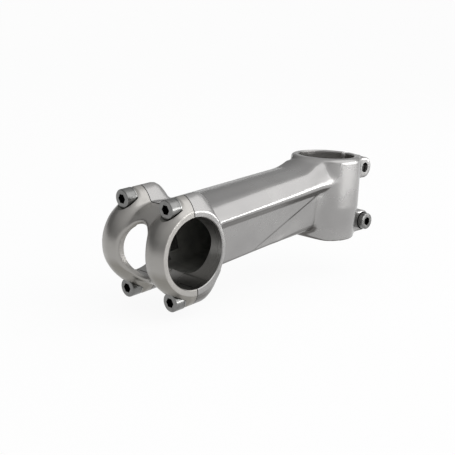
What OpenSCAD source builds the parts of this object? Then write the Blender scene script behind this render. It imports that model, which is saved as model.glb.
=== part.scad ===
/* [Stem] */
// Distance between the steerer axis and the handlebar axis
stem_length = 110; // [90:5:130]
// Rise of the handlebar axis above the steerer clamp, in degrees
stem_angle = -6; // [-10:1:10]

/* [Steerer clamp] */
// Diameter of the steerer tube that is clamped
steerer_d = 28.6; // [28.6:0.1:28.8]
// Height of the steerer clamp
steerer_h = 42; // [41:0.5:42]
// Outer diameter of the steerer clamp
steerer_od = 35.8; // [35:0.1:37]
// Distance of the pinch screws behind the steerer axis
pinch_back = 20.5; // [20.3:0.1:21]
// Height of each pinch screw above or below the middle of the clamp
pinch_rise = 14; // [13.6:0.1:14.4]
// Distance from the middle plane to the threaded end of each ear
ear_side = 9.9; // [9.7:0.1:10.2]
// Distance from the middle plane to the end of each ear that takes a screw's head
ear_head_side = 11; // [10.8:0.1:11.2]
// Radius of the round boss on each ear
ear_r = 5.4; // [5.2:0.1:5.6]
// Width of the slit at the back of the steerer clamp
slit_w = 2.6; // [2:0.2:3]

/* [Handlebar clamp] */
// Diameter of the handlebar that is clamped
bar_d = 31.8; // [31.8:0.1:32]
// Width of the handlebar clamp
clamp_w = 41; // [40.6:0.2:41.4]
// Radius of the clamp's round rim
rim_r = 18.2; // [18:0.1:18.6]
// Radius of the ridge along each band of the faceplate
ridge_r = 20.4; // [20:0.1:20.8]
// Height of the top of a boss above the handlebar axis
boss_top = 25; // [24.6:0.1:25.2]
// Half the width of a boss and of a band
boss_half_w = 6.5; // [6.3:0.1:6.7]
// Width of the gap where the faceplate meets the body
split_gap = 0.5; // [0.4:0.1:0.8]
// Half the width of the window in the faceplate
window_half_w = 8.6; // [8:0.1:9]
// Angle from the level to the top of the window
window_half_angle = 47; // [42:1:50]

/* [Screws] */
// Distance between the screws across the faceplate
screw_pitch_y = 28.6; // [28.4:0.1:29]
// Distance between the upper and lower screws
screw_pitch_u = 41.4; // [41:0.1:41.6]
// Diameter of a screw's shank
screw_d = 5; // [4:0.5:5]
// Diameter of a screw's head
head_d = 8.5; // [8.3:0.1:8.7]
// Height of a screw's head
head_h = 5; // [4.8:0.1:5.2]
// Width of the hexagon socket across its flats
socket_af = 4; // [3:0.5:4]
// Distance from the split plane to the underside of a faceplate screw's head
faceplate_head_seat = 5.8; // [5.4:0.1:6]
// Length of a faceplate screw below its head
faceplate_screw_l = 15; // [14:0.5:15]
// Distance from the middle plane to the underside of a pinch screw's head
pinch_head_seat = 8.9; // [8.7:0.1:9.1]
// Length of a pinch screw below its head
pinch_screw_l = 17; // [16:0.5:17.5]
// Thickness of the washer under a screw's head
washer_t = 0.5; // [0.4:0.1:0.6]

/* [Hidden] */
$fn = 72;

steerer_r = steerer_d / 2;
collar_r = steerer_od / 2;
bar_r = bar_d / 2;
clamp_side = clamp_w / 2;
screw_y = screw_pitch_y / 2;
screw_u = screw_pitch_u / 2;
thread_clear = 0.05;        // radial room between a screw and its thread
hole_clear = 0.3;           // radial room where a screw passes freely
counterbore_r = head_d / 2 + 0.45;
bite = 1;                   // how far a cut runs past a surface

// ---------------------------------------------------------------- frames

// The handlebar frame: x forward along the stem's line, z up across it.
module at_bar() {
    rotate([0, -stem_angle, 0])
        translate([stem_length, 0, 0]) children();
}

// A frame whose z runs along the handlebar frame's x, at one screw.
module at_face_screw(side, level) {
    at_bar()
        translate([0, side * screw_y, level * screw_u])
            rotate([0, 90, 0]) children();
}

// A frame whose z runs out of a pinch screw's head, sideways.
module at_pinch_screw(side, level) {
    translate([-pinch_back, 0, level * pinch_rise])
        rotate([-90 * side, 0, 0]) children();
}

// ---------------------------------------------------------------- curves

function mix(a, b, t) = a * (1 - t) + b * t;
function clamp01(t) = min(1, max(0, t));
function toward(p, q, d) = p + (q - p) * min(0.45, d / norm(q - p));

// A corner at p between a and b, rounded from a distance d on each side.
function round_corner(a, p, b, d, steps) =
    let (start = toward(p, a, d), end = toward(p, b, d))
    [for (i = [0 : steps])
        let (t = i / steps)
        start * (1 - t) * (1 - t) + p * 2 * t * (1 - t) + end * t * t];

// A closed outline through corners, each [x, y, rounding].
function rounded(corners, steps) =
    let (n = len(corners))
    [for (i = [0 : n - 1])
        let (a = corners[(i + n - 1) % n], p = corners[i], b = corners[(i + 1) % n])
        each round_corner([a[0], a[1]], [p[0], p[1]], [b[0], b[1]], p[2], steps)];

// A whole outline, from its right half and that half's mirror image.
function mirrored(half) =
    concat(half, [for (i = [len(half) - 2 : -1 : 1])
        [-half[i][0], half[i][1], half[i][2]]]);

// A closed skin over rings of equal length, with flat ends. Seen from the last ring's
// side, the points of each ring run clockwise.
module skin(rings) {
    n = len(rings[0]);
    last = len(rings) - 1;
    polyhedron(
        points = [for (ring = rings) each ring],
        faces = concat(
            [[for (i = [n - 1 : -1 : 0]) i]],
            [for (k = [0 : last - 1], i = [0 : n - 1])
                let (j = (i + 1) % n)
                each [[k * n + i, (k + 1) * n + j, (k + 1) * n + i],
                      [k * n + i, k * n + j, (k + 1) * n + j]]],
            [[for (i = [0 : n - 1]) last * n + i]]),
        convexity = 8);
}

// ---------------------------------------------------------------- extension

ext_end = stem_length - 9;  // last station, inside the handlebar clamp
fillet_r = 3.6;             // fillet between the extension's sides and the collar
crown_rise = 2.4;           // how far the crown sweeps up to the collar
crown_reach = 10;           // how far out from the collar that sweep begins

// How far along the extension a station is, 0 at the steerer and 1 at the handlebar.
function along(s) = clamp01((s - 18) / (stem_length - 36));
// How far a fillet of radius fillet_r lifts a surface at a distance d from the collar.
function lift(d) = d >= fillet_r ? 0
    : fillet_r - sqrt(fillet_r * fillet_r - pow(fillet_r - d, 2));

// How far the crown has swept up at a distance d from the collar.
function sweep(d) = crown_rise * pow(clamp01(1 - d / crown_reach), 2);

// The right half of the extension's section, as corners with roundings. The section is
// taken at station s, at a distance d from the collar.
function half_section(s, d) =
    let (t = along(s),
        f = lift(d),
        crown = mix(19.6, 18.3, t) + sweep(d),
        shoulder = mix(11.2, 12.6, t) + 0.3 * f,
        edge = mix(14.2, 19.6, t) + 0.5 * f,
        under = edge - 2.5,
        foot = mix(7.4, 12, t) + 0.5 * f,
        keel = mix(-15.3, -16.3, t) - f,
        bulge = 2.2 * clamp01((50 - s) / 30),
        crease = min(0.85, max(0.15, (s - 16) / 34)))
    [[0, crown, 5],
     [shoulder, crown - 2.2, 2.2],
     [edge, 10.4, 1.5],
     [under, 7.2, 1.4],
     [mix(under, foot, crease) + bulge * (1 - crease) * 0.3,
        mix(7.2, keel + 2.6, crease), 0.8],
     [foot + bulge, keel + 2.6, 5],
     [0, keel, 6]];

// A point [y, height] of a section, set at station s along the stem's line.
function placed(s, p) =
    [s * cos(stem_angle) - p[1] * sin(stem_angle), p[0],
     s * sin(stem_angle) + p[1] * cos(stem_angle)];
function place_ring(s, outline) = [for (p = outline) placed(s, p)];
// The same outline bent to stay at a distance d from the collar's round wall.
function bend_ring(d, outline) =
    [for (p = outline)
        let (x = sqrt(pow(collar_r + d, 2) - p[0] * p[0]) + p[1] * sin(stem_angle))
        placed(x / cos(stem_angle), p)];

module extension() {
    bent = [-0.8, 0.25, 0.6, 1.1, 2, 3.6, 6, 9];
    stations = [33, 38, 44, 50, 70, ext_end];
    function outline(s, d) = rounded(mirrored(half_section(s, d)), 4);
    skin(concat(
        [place_ring(6, [for (p = outline(17, collar_r)) p * 0.5])],
        [for (d = bent) bend_ring(d, outline(17 + max(d, 0), max(d, 0)))],
        [for (s = stations) place_ring(s, outline(s, s - collar_r))]));
}

// The hollow, open into the handlebar bore and blind behind the steerer bore.
function half_hollow(s) =
    let (t = clamp01((s - 24) / (stem_length - 42)),
        close = clamp01((s - 24) / 6),
        grow = 0.72 + 0.28 * sqrt(1 - (1 - close) * (1 - close)),
        top = mix(14.6, 12.6, t) * grow,
        side = mix(10.6, 14.2, t) * grow,
        low = mix(-11.8, -14.6, t) * grow)
    [[0, top, 6], [side * 0.72, top - 0.8, 4], [side, mix(low, top, 0.62), 5],
     [side * 0.74, low + 0.8, 5], [0, low, 5]];

module hollow() {
    stations = [24, 25, 27, 30, stem_length - 18, stem_length - 6];
    skin([for (s = stations) place_ring(s, rounded(mirrored(half_hollow(s)), 4))]);
}

// ---------------------------------------------------------------- handlebar clamp

dome_power = 1.65;          // 2 is an ellipse, less is more pointed
dome_steps = 12;            // steps across one boss, from its inner to its outer side

// The dome of a boss or band across its width: 1 on its middle line, 0 at its sides.
function dome(t) = pow(max(0, 1 - pow(abs(t), dome_power)), 1 / dome_power);
function dome_y(i) = (clamp_side - boss_half_w) - boss_half_w * cos(180 * i / dome_steps);

// One boss of the body: a domed block that sinks into the round rim behind it.
module body_boss(side, level) {
    // [distance behind the split plane, height of its top below boss_top]
    spine = [[-1, 0], [6, 0], [8, 0.4], [10, 1.6], [11.5, 3.3], [13, 6], [14.2, 9]];
    function rim_z(x) = sqrt(rim_r * rim_r - x * x) - 0.3;
    at_bar()
        mirror([0, side < 0 ? 1 : 0, 0])
            mirror([0, 0, level < 0 ? 1 : 0])
                skin([for (p = spine)
                    concat(
                        [for (i = [dome_steps : -1 : 0])
                            [-p[0], dome_y(i) - 0.02,
                             mix(rim_z(p[0]) - 0.8, boss_top - p[1], dome(-cos(180 * i / dome_steps)))]],
                        [[-p[0], clamp_side - 2 * boss_half_w, rim_z(p[0]) - 4],
                         [-p[0], clamp_side - 0.02, rim_z(p[0]) - 4]])]);
}

module rear_clamp() {
    at_bar() rotate([90, 0, 0]) cylinder(r = rim_r, h = clamp_w, center = true);
    for (side = [-1, 1], level = [-1, 1]) body_boss(side, level);
}

// The handlebar bore. A shallow relief in its middle leaves two rings that grip the bar.
module bar_bore() {
    relief = 0.4;
    relief_w = 8;
    at_bar() rotate([90, 0, 0]) {
        cylinder(r = bar_r, h = clamp_w + 20, center = true);
        cylinder(r = bar_r + relief, h = relief_w, center = true);
    }
}

// ---------------------------------------------------------------- steerer clamp

// The collar's half section: its top edge is well rounded, and its lower half tapers to
// a foot with a rounded edge.
module collar() {
    low_edge = 0.8;
    top_edge = 2;
    foot_r = collar_r - 1.5;
    taper_top = -4;
    rotate_extrude()
        polygon(concat(
            [[0, -steerer_h / 2]],
            [for (a = [-90 : 22.5 : 0])
                [foot_r - low_edge + low_edge * cos(a),
                 -steerer_h / 2 + low_edge + low_edge * sin(a)]],
            [[collar_r, taper_top]],
            [for (a = [0 : 15 : 90])
                [collar_r - top_edge + top_edge * cos(a),
                 steerer_h / 2 - top_edge + top_edge * sin(a)]],
            [[0, steerer_h / 2]]));
}

// The steerer bore, with a small chamfer at each end.
module steerer_bore() {
    chamfer = 0.5;
    rotate_extrude()
        polygon([[0, -steerer_h], [steerer_r + chamfer, -steerer_h],
            [steerer_r + chamfer, -steerer_h / 2], [steerer_r, -steerer_h / 2 + chamfer],
            [steerer_r, steerer_h / 2 - chamfer], [steerer_r + chamfer, steerer_h / 2],
            [steerer_r + chamfer, steerer_h], [0, steerer_h]]);
}

web_back = -19;             // back of the web between the ears

// The side view of one ear: a round boss with a fillet down to the web.
module ear_outline(level) {
    fillet = 3;
    inside = 0.4;           // how far the fillet's ends sink into the boss and the web
    fillet_x = web_back - fillet;
    fillet_z = pinch_rise - sqrt(pow(ear_r + fillet, 2) - pow(pinch_back + fillet_x, 2));
    meet = atan2(pinch_rise - fillet_z, -pinch_back - fillet_x);
    scale([1, level]) {
        translate([-pinch_back, pinch_rise]) circle(r = ear_r);
        translate([-pinch_back, pinch_rise - 3]) square([9.5, ear_r + 3]);
        polygon(concat(
            [[web_back + inside, fillet_z - 3 * inside]],
            [for (k = [1 : 5])
                [fillet_x + fillet * cos(meet * k / 6), fillet_z + fillet * sin(meet * k / 6)]],
            [[fillet_x + (fillet + inside) * cos(meet), fillet_z + (fillet + inside) * sin(meet)],
             [-pinch_back, pinch_rise], [web_back + 4, pinch_rise],
             [web_back + 4, fillet_z - 3 * inside]]));
    }
}

module ears() {
    for (level = [-1, 1])
        mirror([0, level > 0 ? 1 : 0, 0])
            translate([0, ear_head_side, 0])
                rotate([90, 0, 0])
                    linear_extrude(ear_head_side + ear_side) ear_outline(level);
    linear_extrude(steerer_h - 3.4, center = true)
        polygon([[-8, -11], [-14.2, -9.6], [web_back, -6.4],
            [web_back, 6.4], [-14.2, 9.6], [-8, 11]]);
}

module pinch_cuts() {
    for (level = [-1, 1])
        at_pinch_screw(-level, level) {
            translate([0, 0, pinch_head_seat - washer_t])
                cylinder(r = counterbore_r, h = 4);
            cylinder(r = screw_d / 2 + hole_clear, h = ear_head_side + bite);
            translate([0, 0, -ear_side - bite])
                cylinder(r = screw_d / 2 + thread_clear, h = ear_side + 1.5 * bite);
        }
}

// The hollow curve under the collar's front edge, where the extension's keel runs out.
module chin_cut() {
    chin_r = 26;
    translate([24.7, 0, -18.2 - chin_r])
        rotate([90, 0, 0]) cylinder(r = chin_r, h = 60, center = true);
}

module stem_body() {
    color("lightgray")
        difference() {
            union() {
                collar();
                ears();
                extension();
                rear_clamp();
            }
            steerer_bore();
            chin_cut();
            translate([-30, -slit_w / 2, -steerer_h])
                cube([30, slit_w, 2 * steerer_h]);
            hollow();
            bar_bore();
            at_bar()
                translate([-split_gap / 2, -clamp_w, -clamp_w])
                    cube([40, 2 * clamp_w, 2 * clamp_w]);
            for (side = [-1, 1], level = [-1, 1])
                at_face_screw(side, level)
                    translate([0, 0, -11])
                        cylinder(r = screw_d / 2 + thread_clear, h = 12);
            pinch_cuts();
        }
}

// ---------------------------------------------------------------- faceplate

// Radius of the ridge at an angle: round in front, then straight to the bosses' tops.
function ridge(angle) =
    let (a = abs(angle))
    a <= 45 ? ridge_r
            : min(ridge_r * sqrt(2) / (cos(a) + sin(a)), boss_top / sin(a));

// The faceplate's outer surface: domed across each band, following the ridge along it.
module faceplate_form() {
    step = 5;
    first = asin(split_gap / 2 / boss_top);
    angles = concat([-90 + first], [for (a = [-85 : step : 85]) a], [90 - first]);
    side_ys = [for (i = [0 : dome_steps]) dome_y(i)];
    ys = concat([for (i = [dome_steps : -1 : 0]) -side_ys[i]], side_ys);
    domes = [for (y = ys) dome((abs(y) - clamp_side + boss_half_w) / boss_half_w)];
    at_bar()
        skin([for (k = [0 : len(ys) - 1])
            [for (a = angles)
                let (r = mix(rim_r, ridge(a), domes[k]),
                    x = max(split_gap / 2, r * cos(a)))
                [abs(a) > 85.5 ? split_gap / 2 : x, ys[k], r * sin(a)]]]);
}

// The window: an oval whose walls lean out from the handlebar axis.
module window_cut() {
    n = 40;
    radii = [12, 17, 20, 30];
    rings = [for (r = radii)
        [for (i = [0 : n - 1])
            let (phi = 360 * i / n,
                half_w = window_half_w + 0.2 * (r - bar_r),
                half_a = window_half_angle + 0.9 * (r - bar_r),
                angle = half_a * sin(phi))
            [r * cos(angle), half_w * cos(phi), r * sin(angle)]]];
    middles = [[radii[0], 0, 0], [radii[3], 0, 0]];
    last = len(radii) - 1;
    at_bar()
        polyhedron(
            points = concat([for (ring = rings) each ring], middles),
            faces = concat(
                [for (k = [0 : last - 1], i = [0 : n - 1])
                    let (j = (i + 1) % n)
                    each [[k * n + i, (k + 1) * n + j, k * n + j],
                          [k * n + i, (k + 1) * n + i, (k + 1) * n + j]]],
                [for (i = [0 : n - 1]) [i, (i + 1) % n, (last + 1) * n]],
                [for (i = [0 : n - 1]) [last * n + (i + 1) % n, last * n + i, (last + 1) * n + 1]]),
            convexity = 4);
}

module faceplate() {
    color("silver")
        difference() {
            faceplate_form();
            bar_bore();
            window_cut();
            for (side = [-1, 1], level = [-1, 1])
                at_face_screw(side, level) {
                    translate([0, 0, -bite])
                        cylinder(r = screw_d / 2 + hole_clear, h = 12);
                    translate([0, 0, faceplate_head_seat - washer_t])
                        cylinder(r = counterbore_r, h = 16);
                }
        }
}

// ---------------------------------------------------------------- screws

// A socket-head screw with its shank along -z and the underside of its head at z = 0.
module socket_screw(shank_l) {
    edge = 0.5;
    tip = 0.6;
    difference() {
        union() {
            rotate_extrude()
                polygon([[0, 0], [head_d / 2, 0], [head_d / 2, head_h - edge],
                    [head_d / 2 - edge, head_h], [0, head_h]]);
            rotate_extrude()
                polygon([[0, 0.2], [screw_d / 2, 0.2], [screw_d / 2, tip - shank_l],
                    [screw_d / 2 - tip, -shank_l], [0, -shank_l]]);
        }
        translate([0, 0, head_h - 2.8])
            cylinder(d = socket_af / cos(30), h = 4, $fn = 6);
    }
}

// A flat washer whose upper face is at z = 0.
module washer(d, t) {
    translate([0, 0, -t])
        difference() {
            cylinder(d = d, h = t);
            translate([0, 0, -bite])
                cylinder(r = screw_d / 2 + thread_clear, h = t + 2 * bite);
        }
}

module faceplate_bolt(side, level) {
    color("dimgray")
        at_face_screw(side, level)
            translate([0, 0, faceplate_head_seat]) socket_screw(faceplate_screw_l);
}

module faceplate_washer(side, level) {
    color("gray")
        at_face_screw(side, level)
            translate([0, 0, faceplate_head_seat]) washer(head_d, washer_t);
}

module steerer_bolt(side, level) {
    color("dimgray")
        at_pinch_screw(side, level)
            translate([0, 0, pinch_head_seat]) socket_screw(pinch_screw_l);
}

module steerer_washer(side, level) {
    color("gray")
        at_pinch_screw(side, level)
            translate([0, 0, pinch_head_seat]) washer(head_d, washer_t);
}

// The sides are named as seen by the rider: left is +Y.
stem_body();
faceplate();
faceplate_washer(1, 1);  // faceplate_washer_upper_left
faceplate_washer(-1, 1);  // faceplate_washer_upper_right
faceplate_washer(1, -1);  // faceplate_washer_lower_left
faceplate_washer(-1, -1);  // faceplate_washer_lower_right
faceplate_bolt(1, 1);  // faceplate_bolt_upper_left
faceplate_bolt(-1, 1);  // faceplate_bolt_upper_right
faceplate_bolt(1, -1);  // faceplate_bolt_lower_left
faceplate_bolt(-1, -1);  // faceplate_bolt_lower_right
steerer_washer(-1, 1);  // steerer_washer_upper
steerer_bolt(-1, 1);  // steerer_bolt_upper
steerer_washer(1, -1);  // steerer_washer_lower
steerer_bolt(1, -1);  // steerer_bolt_lower
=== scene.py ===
# %% [markdown]
# # A forged handlebar stem
#
# A stem joins a bicycle's fork to its handlebar. The real one is forged in aluminium, which
# gives it soft, blended outer surfaces, and then machined, which gives it crisp bores, slits
# and screw pockets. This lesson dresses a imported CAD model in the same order: first the soft
# forging, then the crisp cuts, then the screws, the finishes and the light.

# %% The frame
import math

import bmesh
import bpy
import numpy as np
from mathutils import Matrix, Vector


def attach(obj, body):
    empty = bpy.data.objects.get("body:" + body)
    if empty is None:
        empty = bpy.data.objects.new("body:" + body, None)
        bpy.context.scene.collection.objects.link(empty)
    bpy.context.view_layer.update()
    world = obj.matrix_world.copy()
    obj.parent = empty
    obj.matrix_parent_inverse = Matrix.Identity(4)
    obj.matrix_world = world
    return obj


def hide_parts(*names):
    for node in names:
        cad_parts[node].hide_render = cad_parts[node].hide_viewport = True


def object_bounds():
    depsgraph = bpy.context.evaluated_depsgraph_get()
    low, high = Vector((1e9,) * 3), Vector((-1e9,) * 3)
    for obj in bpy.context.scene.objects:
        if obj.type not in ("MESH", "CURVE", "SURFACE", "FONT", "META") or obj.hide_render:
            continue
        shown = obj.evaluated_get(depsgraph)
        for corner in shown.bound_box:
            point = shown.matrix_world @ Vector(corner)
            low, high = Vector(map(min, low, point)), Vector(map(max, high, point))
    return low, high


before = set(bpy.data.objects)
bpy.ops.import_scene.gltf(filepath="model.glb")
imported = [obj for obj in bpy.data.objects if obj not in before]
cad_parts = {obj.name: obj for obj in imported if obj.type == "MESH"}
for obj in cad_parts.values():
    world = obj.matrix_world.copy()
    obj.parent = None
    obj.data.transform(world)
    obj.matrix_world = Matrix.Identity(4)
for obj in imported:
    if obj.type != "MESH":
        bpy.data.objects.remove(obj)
cad_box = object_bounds()
MM = 0.001
print("nodes:", len(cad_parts))

# %% [markdown]
# ## Sizes
#
# The lesson works in millimetres and turns them into metres at the end of each piece. The
# sizes are those of the CAD source: two standard bores, 28.6 mm for the fork and 31.8 mm for
# the handlebar, 110 mm apart on a line that falls by 6 degrees.

# %% Sizes of the stem
stem_length = 110.0
stem_slope = math.radians(-6)
steerer_r = 14.3
collar_r = 17.9
collar_half_h = 21.0
bar_r = 15.9
rim_r = 18.2
ridge_r = 20.4
clamp_side = 20.5
boss_half_w = 6.5
boss_top = 25.0
boss_y = clamp_side - boss_half_w
screw_y = 14.3
screw_h = 20.7
pinch_back = 20.5
pinch_rise = 14.0
ear_r = 5.4
ear_side = 9.9
ear_head_side = 11.0
pocket_r = 4.7
face_seat = 5.8
pinch_seat = 8.9
washer_t = 0.5
shank_r = 2.5
thread_clear = 0.05
hole_clear = 0.3
print("bores:", 2 * steerer_r, "mm and", 2 * bar_r, "mm")

# %% [markdown]
# The stem's own line is the best axis to model along, so most pieces are made in a frame
# where x runs along the extension from the fork to the handlebar, y goes to the rider's left
# and z stands square to both. One matrix turns that frame into the CAD model's own, which
# is called the row frame here.

# %% The stem's own frame
to_row = Matrix.Rotation(-stem_slope, 4, "Y")
at_bar = to_row @ Matrix.Translation((stem_length, 0, 0))
row_cos, row_sin = math.cos(stem_slope), math.sin(stem_slope)
bar_centre = at_bar.translation * MM
print("handlebar axis passes through", [round(v, 5) for v in bar_centre])


# %% [markdown]
# ## Soft forms from distance fields
#
# A forging has no sharp inner corners: where two forms meet, metal flows round them in a
# fillet. Modelling such a skin by hand means many strips of quads. A distance field does it
# with arithmetic: each form gives every point in space its distance to the form's surface,
# negative inside, and a smooth minimum of two distances is the two forms with a fillet
# between them. The blend is 1.17 radii wide, since it then fills a square corner as deep as
# a round fillet of that radius does.

# %% Blending distances
blend_width = 1.17


def blend_union(a, b, radius):
    """Two forms as one, with a fillet of about that radius where they meet."""
    k = blend_width * radius
    h = np.maximum(k - np.abs(a - b), 0) / k
    return np.minimum(a, b) - h * h * k / 4


def blend_cut(a, b, radius):
    """What is inside a and outside b, with the edge rounded."""
    return -blend_union(-a, b, radius)


def blend_inside(a, b, radius):
    """What is inside both forms, with the edge rounded."""
    return -blend_union(-a, -b, radius)


def as_distance(field, step, smallest):
    """Scales any smooth field so that it grows by one unit a millimetre, like a distance."""
    slopes = np.gradient(field, step)
    return field / np.maximum(np.sqrt(sum(s * s for s in slopes)), smallest)


corner_fill = -math.sqrt(2) * float(blend_union(0.0, 0.0, 2.0))
print("a 2 mm fillet fills its corner by", round(corner_fill, 2), "mm")


# %% [markdown]
# ## From a field to a mesh
#
# A surface net turns the field into quads. Every cube of the grid that the surface passes
# through gets one vertex, at the mean of the places where its edges cross the surface, and
# every grid edge that crosses it gets one quad between the four cubes around it. Blender's
# own remesher could soften a rough model too, but it wouldn't keep the facets this flat.

# %% Surface net
def surface_net(field, origin, step):
    """Vertices and outward quads of the surface where the field is zero."""
    inside = field < 0
    cells = tuple(n - 1 for n in field.shape)
    total = np.zeros(cells + (3,))
    count = np.zeros(cells)
    for axis in range(3):
        others = [a for a in range(3) if a != axis]
        for da in (0, 1):
            for db in (0, 1):
                low = [slice(0, n) for n in cells]
                low[others[0]] = slice(da, cells[others[0]] + da)
                low[others[1]] = slice(db, cells[others[1]] + db)
                high = list(low)
                high[axis] = slice(1, cells[axis] + 1)
                a, b = field[tuple(low)], field[tuple(high)]
                crossed = (a < 0) != (b < 0)
                share = np.where(crossed, a / np.where(crossed, a - b, 1), 0)
                total[..., axis] += np.where(crossed, share, 0)
                total[..., others[0]] += crossed * da
                total[..., others[1]] += crossed * db
                count += crossed
    active = count > 0
    number = np.full(cells, -1)
    number[active] = np.arange(int(active.sum()))
    corner = np.stack(np.nonzero(active), axis=1)
    verts = (corner + total[active] / count[active][:, None]) * step + np.array(origin)
    quads = []
    for axis in range(3):
        b, c = (axis + 1) % 3, (axis + 2) % 3
        low = [slice(1, n) for n in cells]
        low[axis] = slice(0, cells[axis])
        high = list(low)
        high[axis] = slice(1, cells[axis] + 1)
        starts, ends = inside[tuple(low)], inside[tuple(high)]
        places = np.stack(np.nonzero(starts != ends), axis=1)
        leaves = starts[tuple(places.T)]
        base = places.copy()
        base[:, b] += 1
        base[:, c] += 1
        ring = []
        for db, dc in ((0, 0), (-1, 0), (-1, -1), (0, -1)):
            cell = base.copy()
            cell[:, b] += db
            cell[:, c] += dc
            ring.append(number[tuple(cell.T)])
        ring = np.stack(ring, axis=1)
        ring[~leaves] = ring[~leaves][:, ::-1]
        quads.append(ring)
    return verts, np.concatenate(quads)


def new_piece(name, verts, faces, matrix=None):
    """A mesh object at the origin, made of millimetre points that the matrix places."""
    mesh = bpy.data.meshes.new(name)
    if isinstance(faces, np.ndarray):
        faces = faces.tolist()
    mesh.from_pydata(np.asarray(verts).tolist(), [], faces)
    mesh.transform(Matrix.Scale(MM, 4) @ (matrix or Matrix.Identity(4)))
    mesh.update()
    piece = bpy.data.objects.new(name, mesh)
    bpy.context.scene.collection.objects.link(piece)
    return piece


# %% [markdown]
# ## The extension
#
# The extension is a tube with a faceted section: a crowned top, a facet on each shoulder, a
# crisp rounded edge with an undercut below it, and sides that taper down to the keel. A line
# of corners describes the right half, and the corners slide as the station moves from the
# fork to the handlebar. Towards the collar the top and its facets sweep up a little. At each
# slice of the grid the distance to that outline is exact, which keeps the facets flat.

# %% Section of the extension
sweep_rise, sweep_run = 2.4, 10
groove_in, groove_down = 2.7, 3.8


def mix(a, b, t):
    """From a at t = 0 to b at t = 1."""
    return a * (1 - t) + b * t


def half_section(station):
    """Corners of the right half of the section, each (y, height, rounding)."""
    t = min(1, max(0, (station - 18) / (stem_length - 36)))
    sweep = sweep_rise * min(1, max(0, 1 - (station - collar_r) / sweep_run)) ** 2
    shoulder, shoulder_h = mix(11.2, 12.6, t), mix(17.4, 16.1, t)
    edge, edge_h = mix(14.2, 19.6, t), mix(9.4, 9.9, t)
    slope = (edge - shoulder) / (shoulder_h - edge_h)
    under, under_h = edge - groove_in, edge_h - groove_down
    foot = mix(7.4, 12, t)
    keel = mix(-15.3, -16.3, t)
    bulge = 2.2 * min(1, max(0, (50 - station) / 30))
    crease = min(0.85, max(0.15, (station - 16) / 34))
    return [(0, shoulder_h + 2.2 + sweep, 5),
            (shoulder - sweep * slope, shoulder_h + sweep, 2.2),
            (edge, edge_h, 2.6), (under, under_h, 0.6),
            (mix(under, foot, crease) + bulge * (1 - crease) * 0.3,
             mix(under_h, keel + 2.6, crease), 0.8),
            (foot + bulge, keel + 2.6, 5), (0, keel, 6)]


def rounded_outline(half, steps):
    """The whole outline, mirrored, with each corner turned into a smooth curve."""
    corners = half + [(-y, h, r) for y, h, r in half[-2:0:-1]]
    points = []
    for i, (y, h, r) in enumerate(corners):
        p = np.array((y, h))
        before = np.array(corners[i - 1][:2]) - p
        after = np.array(corners[(i + 1) % len(corners)][:2]) - p
        start = p + before * min(0.45, r / np.linalg.norm(before))
        end = p + after * min(0.45, r / np.linalg.norm(after))
        for t in np.linspace(0, 1, steps):
            points.append(start * (1 - t) ** 2 + 2 * p * t * (1 - t) + end * t * t)
    return np.array(points)


def outline_distance(points, y, h):
    """Signed distance from every (y, h) to a closed outline, negative inside."""
    nearest = np.full(y.shape, 1e9)
    odd = np.zeros(y.shape, bool)
    for a, b in zip(points, np.roll(points, -1, axis=0)):
        along = b - a
        length = along @ along
        if length < 1e-12:
            continue
        t = np.clip(((y - a[0]) * along[0] + (h - a[1]) * along[1]) / length, 0, 1)
        nearest = np.minimum(nearest, (y - a[0] - t * along[0]) ** 2
                             + (h - a[1] - t * along[1]) ** 2)
        if a[1] != b[1]:
            spans = (h < a[1]) != (h < b[1])
            odd ^= spans & (y < a[0] + (h - a[1]) / along[1] * along[0])
    return np.where(odd, -1, 1) * np.sqrt(nearest)


for station in (30, 60, 90):
    widest = max(corner[0] for corner in half_section(station))
    print("section at", station, "mm: half as wide as", round(widest, 1), "mm")


# %% [markdown]
# ## The forging as one field
#
# The forms are the extension, the collar round the fork, two ears with the web between
# them, and the round rim with its four bosses at the handlebar. Each joins the others with
# its own fillet. The grid covers one side of the stem. Both sides use it in turn, because
# the ears alone differ in length, and most of the fields are worked out only once.

# %% Grid of the forging
forging_step = 0.5
grid_x = np.arange(-30, stem_length + 2, forging_step)
grid_y = np.arange(0, clamp_side + 3, forging_step)
grid_h = np.arange(-28, 28.5, forging_step)
gx, gy, gh = np.meshgrid(grid_x, grid_y, grid_h, indexing="ij")
row_x = gx * row_cos - gh * row_sin
row_z = gx * row_sin + gh * row_cos
print("forging grid:", gx.shape)

# %% [markdown]
# The side of the real extension has one more form: a soft diagonal step that runs down from
# the collar to the keel, half a millimetre deep. It is a depth added to the field, zero above
# the step's line and full a little way below it, and it fades out near the keel and the
# middle. A sculpting brush could do it too, but two numbers of a line are easier to move.

# %% Extension with its diagonal step
slice_y, slice_h = np.meshgrid(grid_y, grid_h, indexing="ij")
extension = np.stack([
    outline_distance(rounded_outline(half_section(max(station, 17)), 5), slice_y, slice_h)
    for station in grid_x])
crease_x, crease_h, crease_fall = 23, 4.6, 0.385
crease_depth, crease_width, fade_width = 0.5, 1.4, 4
# The last number turns a drop below the slanting line into a distance from it.
past_crease = (crease_h - gh - crease_fall * (gx - crease_x)) / 1.07
reached = np.clip(past_crease / crease_width, 0, 1)
recess = crease_depth * reached * reached * (3 - 2 * reached)
recess *= np.clip((gy - 5) / fade_width, 0, 1) * np.clip((gh + 13.5) / fade_width, 0, 1)
extension = np.maximum(extension + recess, 4 - gx)
print("slices of the extension:", len(extension), "deepest recess:", recess.max(), "mm")

# %% [markdown]
# The collar grips the fork. It is a slightly tapered drum with rounded rims, slit at the
# back, and two ears carry the screws that pinch the slit shut. A web joins the ears to each
# other. An ear that takes a screw's head is longer than the one that takes its thread, so
# the ears are cut to length for each side.

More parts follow.
